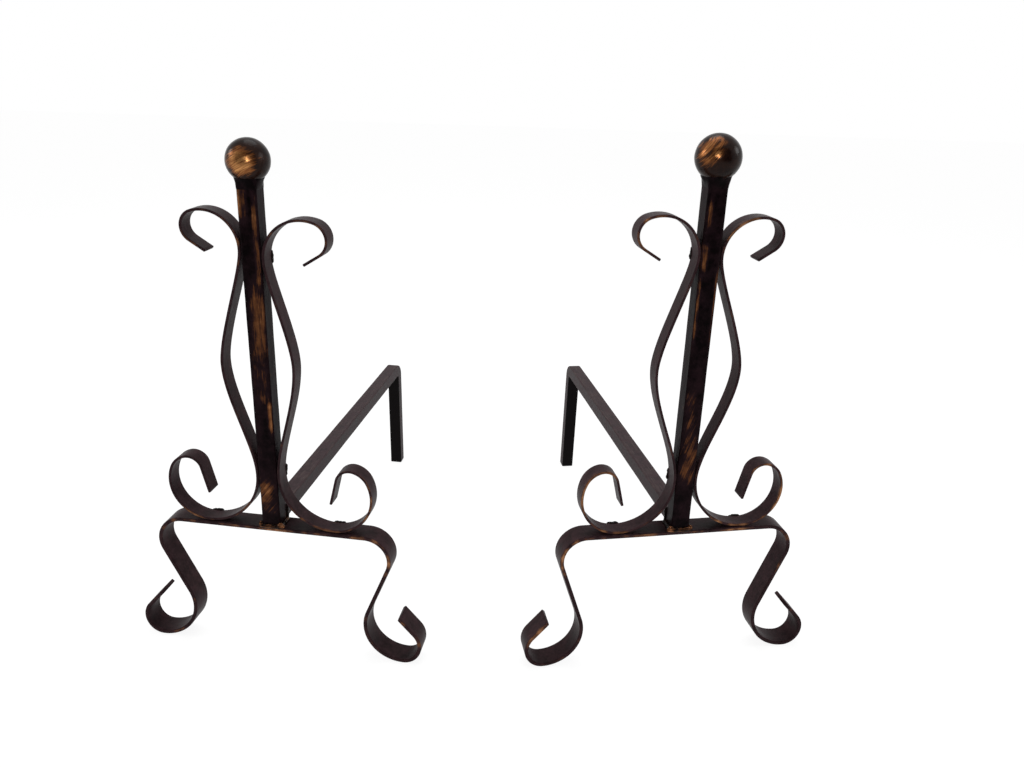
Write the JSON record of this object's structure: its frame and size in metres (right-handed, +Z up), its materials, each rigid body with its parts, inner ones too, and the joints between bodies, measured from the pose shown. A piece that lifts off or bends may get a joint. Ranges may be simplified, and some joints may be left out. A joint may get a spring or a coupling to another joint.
{
  "type": "andiron pair",
  "caption": "Left and right wrought-iron andirons, each a square post with a ball top, lyre scrolls, curled front feet and a log bar bent down into a rear leg.",
  "frame": {"origin": "on the floor, under the middle of the pair's outer box", "axes": "+X from the left andiron's post to the right one's, +Y back along the log bars, +Z up"},
  "size_m": [0.6098, 0.426, 0.4622],
  "materials": {
    "rubbed_iron": "satin black with copper rubbed on by hand",
    "ball_iron": "glossy black with copper rubbed on by hand",
    "strap_iron": "satin brown-black with copper rubbed along the edges",
    "bar_iron": "satin dark brown-grey",
    "weld_iron": "glossy black over lumpy weld beads"
  },
  "bodies": {
    "left_andiron": {"left_post": "rubbed_iron", "left_ball": "ball_iron", "left_neck_weld": "weld_iron", "left_foot_strap": "strap_iron", "left_log_bar": "bar_iron", "left_post_foot_weld": "weld_iron", "left_log_bar_outer_weld": "weld_iron", "left_outer_scroll": "strap_iron", "left_outer_scroll_upper_weld": "weld_iron", "left_outer_scroll_lower_weld": "weld_iron", "left_outer_scroll_foot_weld": "weld_iron", "left_log_bar_inner_weld": "weld_iron", "left_inner_scroll": "strap_iron", "left_inner_scroll_upper_weld": "weld_iron", "left_inner_scroll_lower_weld": "weld_iron", "left_inner_scroll_foot_weld": "weld_iron"},
    "right_andiron": {"right_post": "rubbed_iron", "right_ball": "ball_iron", "right_neck_weld": "weld_iron", "right_foot_strap": "strap_iron", "right_log_bar": "bar_iron", "right_post_foot_weld": "weld_iron", "right_log_bar_outer_weld": "weld_iron", "right_outer_scroll": "strap_iron", "right_outer_scroll_upper_weld": "weld_iron", "right_outer_scroll_lower_weld": "weld_iron", "right_outer_scroll_foot_weld": "weld_iron", "right_log_bar_inner_weld": "weld_iron", "right_inner_scroll": "strap_iron", "right_inner_scroll_upper_weld": "weld_iron", "right_inner_scroll_lower_weld": "weld_iron", "right_inner_scroll_foot_weld": "weld_iron"}
  },
  "joints": [
    {"name": "andiron_spacing", "type": "slide", "parent": "left_andiron", "child": "right_andiron", "axis": [1, 0, 0], "range_m": [-0.05, 0.25]}
  ]
}
